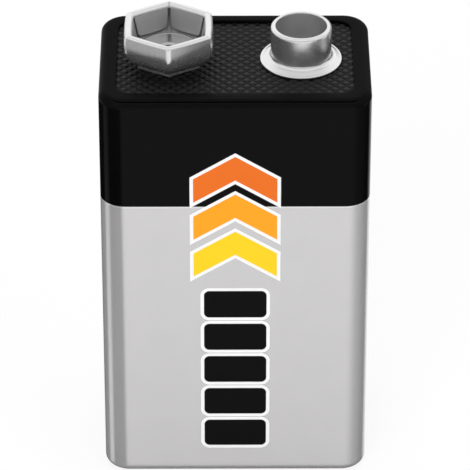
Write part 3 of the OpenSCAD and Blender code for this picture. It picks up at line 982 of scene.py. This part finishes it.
# %% The grid of diamonds
def knurl_tree(tree):
    """Diamonds on a grid at 45 degrees, inside the rim's opening and off both seats."""
    sums = Sums(tree)
    given = add_node(tree, "NodeGroupInput", {})
    span, rows = given["Span"], given["Rows"]
    sides = {"Size X": span, "Size Y": span, "Vertices X": rows, "Vertices Y": rows}
    grid = add_node(tree, "GeometryNodeMeshGrid", sides)[0]
    turned = add_node(tree, "GeometryNodeTransform", {"Geometry": grid, "Rotation": (0, 0, math.pi / 4)})[0]
    x, y, _ = split(add_node(tree, "GeometryNodeInputPosition", {})[0])
    off_x = sums("GREATER_THAN", sums("ABSOLUTE", x), given["Half width"])
    off_y = sums("GREATER_THAN", sums("ABSOLUTE", y), given["Half depth"])
    outside = sums("MAXIMUM", off_x, off_y)
    for axis, seat in (("Stud axis", "Stud seat"), ("Socket axis", "Socket seat")):
        across = sums("SUBTRACT", x, given[axis])
        outside = sums("MAXIMUM", outside, sums("LESS_THAN", sums.far(across, y), given[seat]))
    rest = {"Geometry": turned, "Selection": outside}
    kept = add_node(tree, "GeometryNodeDeleteGeometry", rest, domain="POINT")[0]
    spots = {"Points": kept, "Instance": given["Geometry"]}
    hand_out(add_node(tree, "GeometryNodeInstanceOnPoints", spots)[0], top_black)


knurl_rows = 40
seat_overlap = 0.3
under_rim = 0.4
knurl_values = {
    "Rows": knurl_rows,
    "Span": (knurl_rows - 1) * knurl_pitch * MM,
    "Half width": (mouth_w / 2 + under_rim) * MM,
    "Half depth": (mouth_d / 2 + under_rim) * MM,
    "Stud axis": stud_x * MM,
    "Stud seat": (flange_r - seat_overlap) * MM,
    "Socket axis": socket_x * MM,
    "Socket seat": (bowl_foot - seat_overlap) * MM,
}
knurl = bake_tree(one_diamond, knurl_tree, knurl_values, "knurled_face")
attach(knurl, "root")
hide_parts("terminal_plate")


# %% Body of the plate
def holed_slab(outline, holes, low, high):
    """A slab with holes: both of its faces are filled between the outline and the holes."""
    work = bmesh.new()
    loops = [outline] + holes
    for z in (low, high):
        edges = []
        for loop in loops:
            corners = [work.verts.new(Vector((px, py, z)) * MM) for px, py in loop]
            edges += [work.edges.new((corners[i - 1], corners[i])) for i in range(len(corners))]
        bmesh.ops.triangle_fill(work, use_beauty=True, use_dissolve=False, edges=edges)
    work.verts.ensure_lookup_table()
    total = sum(len(loop) for loop in loops)
    start = 0
    for loop in loops:
        n = len(loop)
        for i in range(n):
            a, b = start + (i - 1) % n, start + i
            work.faces.new([work.verts[k] for k in (a, b, b + total, a + total)])
        start += n
    work.verts.index_update()
    points = [tuple(v.co / MM) for v in work.verts]
    faces = [tuple(v.index for v in face.verts) for face in work.faces]
    work.free()
    return points, faces


def rounded_outline(inset, r):
    """Flat outline at a distance in from the case's faces."""
    return rounded_box(0, case_w / 2 - inset, case_d / 2 - inset, r, 12)


def circle(x, r, steps=64):
    """Round outline about the upright axis at x."""
    return arc(x, 0, r, 0, 360 - 360 / steps, steps - 1)


def combined(parts):
    """One list of points and one of faces from several."""
    points, faces = [], []
    for more_points, more_faces in parts:
        first = len(points)
        points += more_points
        faces += [tuple(first + i for i in face) for face in more_faces]
    return points, faces


# %% The plate's five slabs
rim_slack = 0.06
shoulder = 0.22
skirt_t = 0.7
holes = [circle(x, rivet_hole_r) for x in (stud_x, socket_x)]
edge_r = roll_r - sheet_t + rim_slack
plate_corner_r = corner_r - plate_gap
slab = holed_slab(rounded_outline(plate_gap, plate_corner_r), holes, z_top - plate_t, z_top - edge_r)
crown_outline = rounded_outline(plate_gap + shoulder, plate_corner_r - shoulder)
crown = holed_slab(crown_outline, holes, z_top - edge_r, groove_z)
seats = [
    holed_slab(circle(x, r, 96), [circle(x, rivet_hole_r)], groove_z, z_top)
    for x, r in ((stud_x, flange_r), (socket_x, bowl_foot))
]
skirt_inside = rounded_outline(plate_gap + skirt_t, plate_corner_r - skirt_t)
skirt = holed_slab(rounded_outline(plate_gap, plate_corner_r), [skirt_inside], plate_low.z, z_top - plate_t)
plate = make_piece("moulded_plate", *combined([slab, crown, skirt] + seats))
dress(plate, top_black)
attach(plate, "root")
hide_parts("terminal_plate")

# %% [markdown]
# ## The studio: floor
# A white sweep keeps the eye on the battery. The floor is a wide disc. To the camera most of it is plain
# white, and the rest is a real matt surface that catches the soft shadow round the jacket's foot. Farther
# out the matt share fades, so that the floor meets the white world with no line.


# %% Floor
floor_r = 4.0
near_white = 0.85
fade_from = 60.0
fade_over = 240.0


def make_floor():
    """A matt disc that looks white to the camera but keeps the battery's shadow."""
    mesh = bpy.data.meshes.new("floor")
    work = bmesh.new()
    bmesh.ops.create_circle(work, cap_ends=True, segments=64, radius=floor_r)
    work.to_mesh(mesh)
    work.free()
    floor = add_object("floor", mesh)
    material, shader, place = new_finish("floor_paper")
    feed(shader, {"Base Color": (0.93, 0.93, 0.93, 1), "Roughness": 0.9, "Specular IOR Level": 0.0})
    sums = Sums(place)
    x, y, _ = split(place)
    fade = sums("DIVIDE", sums("SUBTRACT", sums.far(x, y), fade_from), fade_over, clamp=True)
    tree = material.node_tree
    camera_ray = add_node(tree, "ShaderNodeLightPath", {})["Is Camera Ray"]
    seen = sums("MULTIPLY", camera_ray, sums("MULTIPLY_ADD", fade, 1 - near_white, near_white))
    glow = add_node(tree, "ShaderNodeEmission", {})[0]
    mixed = add_node(tree, "ShaderNodeMixShader", {0: seen, 1: shader.outputs[0], 2: glow})[0]
    feed(tree.nodes["Material Output"], {"Surface": mixed})
    dress(floor, material)
    floor.visible_glossy = False


make_floor()
print(f"floor at z = 0, radius {floor_r} m")

# %% [markdown]
# ## The studio: light
# Polished metal shows its surroundings, so a studio is lit twice: lamps for the matt surfaces, and large
# panels for the metal to see. Here the world is the panels: a bright arch overhead, and below it a broad
# panel in front that fades to the right, one behind and a strip at the left, with dark gaps between that
# draw a band down each rounded corner. Each row of levels pairs an angle in degrees with a brightness. The
# lamps are soft and stay out of reflections.

# %% Levels of the panels and the sky
sky_strength = 1.15
ambient = 0.42
low_panels = (
    (-180, 0.7), (-170, 0.5), (-160, 0.0), (-22, 0.0), (-12, 1.0), (24, 1.0),
    (46, 0.64), (57, 0.4), (82, 0.18), (99, 0.02), (124, 0.0), (140, 1.0),
)
strip_panel = ((-180, 0.0), (-109, 0.0), (-104, 1.0), (-84, 1.0), (-77, 0.0), (180, 0.0))
high_panels = (
    (-180, 1.0), (-115, 0.9), (-92, 0.3), (-60, 0.38), (-45, 0.4), (-20, 0.9), (30, 1.0), (44, 0.55),
    (58, 0.15), (76, 0.15), (84, 0.75), (102, 0.75), (110, 0.2), (150, 0.3), (180, 1.0),
)
sky_levels = (
    (0, 0.95), (34, 0.95), (60, 0.85), (80, 0.64), (94, 0.62),
    (105, 0.95), (118, 0.9), (132, 0.55), (180, 0.5),
)
low_strength = 1.19
foot_z = -0.56
foot_fall = 9.0
strip_z = -0.535
strip_soft = 0.02
strip_least = 0.4
high_z = -0.485
high_soft = 0.06
sky_z = 0.05
sky_soft = 0.25
print(f"world: {len(low_panels) + len(high_panels)} panel levels, {len(sky_levels)} sky levels")


# %% World
def level_ramp(place, levels, low, high):
    """A ramp over an angle: levels are pairs of degrees and brightness."""
    ramp = place.id_data.nodes.new("ShaderNodeValToRGB")
    feed(ramp, {0: place})
    stops = ramp.color_ramp.elements
    while len(stops) < len(levels):
        stops.new(1.0)
    for stop, (angle, level) in zip(stops, levels):
        stop.position = (angle - low) / (high - low)
        stop.color = (level, level, level, 1)
    return ramp.outputs["Color"]


def make_world():
    """White for the camera, panels for reflections and an even grey for matt surfaces."""
    world = bpy.data.worlds.new("studio")
    bpy.context.scene.world = world
    world.use_nodes = True
    tree = world.node_tree
    place = add_node(tree, "ShaderNodeTexCoord", {})["Generated"]
    sums = Sums(place)
    x, y, z = split(place)
    azimuth = sums("ARCTAN2", x, sums("MULTIPLY", y, -1.0))
    turn = sums("MULTIPLY_ADD", azimuth, 0.5 / math.pi, 0.5)
    fall = sums("MINIMUM", sums("SUBTRACT", z, foot_z), 0.0)
    fall = sums("MAXIMUM", sums("MULTIPLY_ADD", fall, foot_fall, low_strength), 0.0)
    below = sums("DIVIDE", sums("SUBTRACT", strip_z, z), strip_soft, clamp=True)
    strip_share = sums("MULTIPLY_ADD", below, 1 - strip_least, strip_least)
    strip = sums("MULTIPLY", level_ramp(turn, strip_panel, -180, 180), strip_share)
    low = sums("MULTIPLY", sums("ADD", level_ramp(turn, low_panels, -180, 180), strip), fall)
    high = level_ramp(turn, high_panels, -180, 180)
    raised = sums("DIVIDE", sums("SUBTRACT", z, high_z), high_soft, clamp=True)
    panels = sums("MULTIPLY_ADD", raised, sums("SUBTRACT", high, low), low)
    arch = sums("DIVIDE", sums("ARCTAN2", z, y), math.pi, clamp=True)
    sky = sums("MULTIPLY", level_ramp(arch, sky_levels, 0, 180), sky_strength)
    overhead = sums("DIVIDE", sums("SUBTRACT", z, sky_z), sky_soft, clamp=True)
    mirrored = sums("MULTIPLY_ADD", overhead, sums("SUBTRACT", sky, panels), panels)
    paths = add_node(tree, "ShaderNodeLightPath", {})
    glossy = paths["Is Glossy Ray"]
    matt = sums("SUBTRACT", 1.0, glossy)
    level = sums("ADD", sums("MULTIPLY", glossy, mirrored), sums("MULTIPLY", matt, ambient))
    camera_ray = paths["Is Camera Ray"]
    other = sums("MULTIPLY", sums("SUBTRACT", 1.0, camera_ray), level)
    strength = sums("ADD", camera_ray, other)
    feed(tree.nodes["Background"], {"Color": (1, 1, 1, 1), "Strength": strength})


make_world()


# %% Lamps
def look_at(thing, place, aim):
    """Set a lamp or camera at a place and turn it to its aim."""
    thing.location = place
    thing.rotation_euler = (Vector(aim) - Vector(place)).to_track_quat("-Z", "Y").to_euler()


def soft_lamp(name, place, aim, size, power):
    """A square area lamp at a place in metres, turned to its aim and unseen in reflections."""
    data = bpy.data.lights.new(name, "AREA")
    data.size = size
    data.energy = power
    lamp = add_object(name, data)
    lamp.visible_glossy = False
    look_at(lamp, place, aim)


heart = (0, 0, 0.024)
soft_lamp("key_lamp", (-0.25, -0.6, 0.45), heart, 0.4, 2.6)
soft_lamp("fill_lamp", (0.5, -0.35, 0.35), heart, 0.5, 1.0)
soft_lamp("top_lamp", (0.0, 0.1, 0.8), heart, 0.5, 2.2)
soft_lamp("back_lamp", (0.1, 0.7, 0.4), heart, 0.5, 1.2)
print("lamps: 4")

# %% [markdown]
# ## The camera
# The photograph looks a little down on the battery through a long lens, which keeps the uprights nearly
# parallel. The angle, distance and lens below were fitted to the case's edges in the picture. The camera
# aims a little under the battery's heart, which the picture shows somewhat above its middle.

# %% Camera
picture_px = 470
sensor_mm = 36.0
focal_px = 3893.0
distance_m = 0.3906
azimuth_deg = -0.2
elevation_deg = 32.84
heart_px = (234.95, 227.35)


def make_camera():
    """A long lens at the photograph's angle."""
    data = bpy.data.cameras.new("camera")
    data.sensor_width = sensor_mm
    data.lens = focal_px / picture_px * sensor_mm
    data.clip_start = 0.01
    data.clip_end = 20.0
    camera = add_object("camera", data)
    bpy.context.scene.camera = camera
    a = math.radians(azimuth_deg)
    e = math.radians(elevation_deg)
    back = Vector((math.sin(a) * math.cos(e), -math.cos(a) * math.cos(e), math.sin(e)))
    turn = (-back).to_track_quat("-Z", "Y")
    right = turn @ Vector((1, 0, 0))
    up = turn @ Vector((0, 1, 0))
    m_per_px = distance_m / focal_px
    off_right = (picture_px / 2 - heart_px[0]) * m_per_px
    off_up = (heart_px[1] - picture_px / 2) * m_per_px
    place = Vector(heart) + back * distance_m
    aim = Vector(heart) + right * off_right + up * off_up
    look_at(camera, place, aim)
    return camera


camera = make_camera()
bpy.context.scene.view_settings.view_transform = "Standard"
print(f"camera: lens {camera.data.lens:.1f} mm at {distance_m} m")
